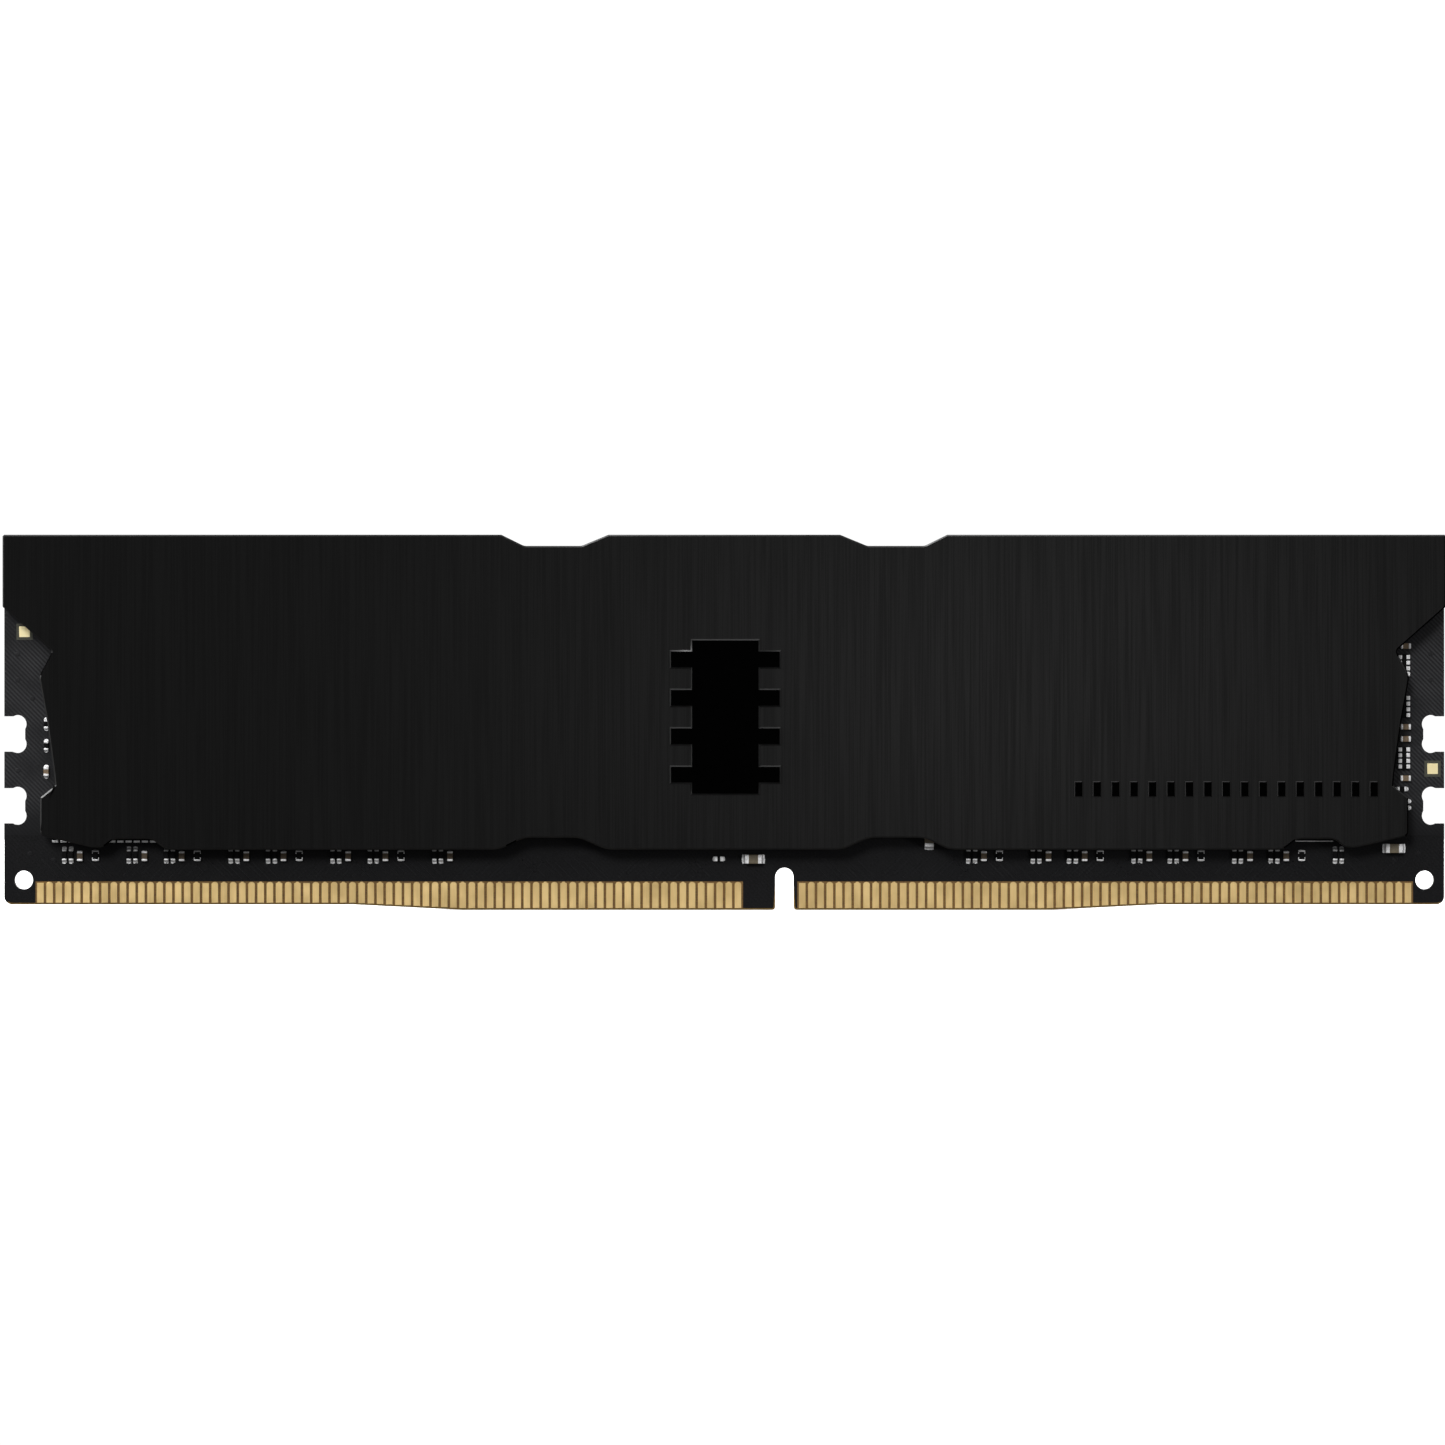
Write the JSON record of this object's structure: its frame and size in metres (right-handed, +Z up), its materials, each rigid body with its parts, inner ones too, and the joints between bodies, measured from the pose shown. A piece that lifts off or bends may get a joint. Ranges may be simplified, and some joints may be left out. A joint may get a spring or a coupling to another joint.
{
  "type": "ram module",
  "caption": "Memory module for a desktop computer: a keyed circuit board with a gold contact edge between two black brushed aluminium heat spreader plates.",
  "frame": {"origin": "middle of the board's thickness and length, at the lowest part of its contact edge", "axes": "+X along the module to the right seen from the front, front face towards -Y, +Z up from the contact edge"},
  "size_m": [0.1334, 0.007, 0.0347],
  "materials": {
    "solder_mask": "satin black solder mask over glass-fibre laminate",
    "gold_plating": "hard gold plating, smooth",
    "moulding_compound": "matt black epoxy moulding compound",
    "capacitor_ceramic": "fired brown ceramic, faint gloss",
    "resistor_glaze": "black glaze",
    "thermal_pad": "soft matt grey gap pad",
    "black_anodising": "brushed upright, black anodised",
    "gloss_badge": "polished black"
  },
  "bodies": {
    "root": {"badge_front": "gloss_badge", "badge_rear": "gloss_badge", "board": "solder_mask", "bulk_capacitor_centre": "capacitor_ceramic", "bulk_capacitor_right": "capacitor_ceramic", "capacitor_front_1": "capacitor_ceramic", "capacitor_front_10": "capacitor_ceramic", "capacitor_front_11": "capacitor_ceramic", "capacitor_front_12": "capacitor_ceramic", "capacitor_front_13": "capacitor_ceramic", "capacitor_front_14": "capacitor_ceramic", "capacitor_front_15": "capacitor_ceramic", "capacitor_front_2": "capacitor_ceramic", "capacitor_front_3": "capacitor_ceramic", "capacitor_front_4": "capacitor_ceramic", "capacitor_front_5": "capacitor_ceramic", "capacitor_front_6": "capacitor_ceramic", "capacitor_front_7": "capacitor_ceramic", "capacitor_front_8": "capacitor_ceramic", "capacitor_front_9": "capacitor_ceramic", "contacts_front_left": "gold_plating", "contacts_front_right": "gold_plating", "contacts_rear_left": "gold_plating", "contacts_rear_right": "gold_plating", "dram_front_1": "moulding_compound", "dram_front_2": "moulding_compound", "dram_front_3": "moulding_compound", "dram_front_4": "moulding_compound", "dram_front_5": "moulding_compound", "dram_front_6": "moulding_compound", "dram_front_7": "moulding_compound", "dram_front_8": "moulding_compound", "dram_rear_1": "moulding_compound", "dram_rear_2": "moulding_compound", "dram_rear_3": "moulding_compound", "dram_rear_4": "moulding_compound", "dram_rear_5": "moulding_compound", "dram_rear_6": "moulding_compound", "dram_rear_7": "moulding_compound", "dram_rear_8": "moulding_compound", "fiducial_front_left": "gold_plating", "fiducial_front_right": "gold_plating", "fiducial_rear_left": "gold_plating", "fiducial_rear_right": "gold_plating", "heatspreader_front": "black_anodising", "heatspreader_rear": "black_anodising", "resistor_array_1": "resistor_glaze", "resistor_array_2": "resistor_glaze", "resistor_array_3": "resistor_glaze", "side_capacitor_left_1": "capacitor_ceramic", "side_capacitor_left_2": "capacitor_ceramic", "side_capacitor_right_1": "capacitor_ceramic", "side_capacitor_right_2": "capacitor_ceramic", "side_capacitor_right_3": "capacitor_ceramic", "side_capacitor_right_4": "capacitor_ceramic", "spd_eeprom": "moulding_compound", "thermal_pad_front": "thermal_pad", "thermal_pad_rear": "thermal_pad"}
  },
  "joints": []
}
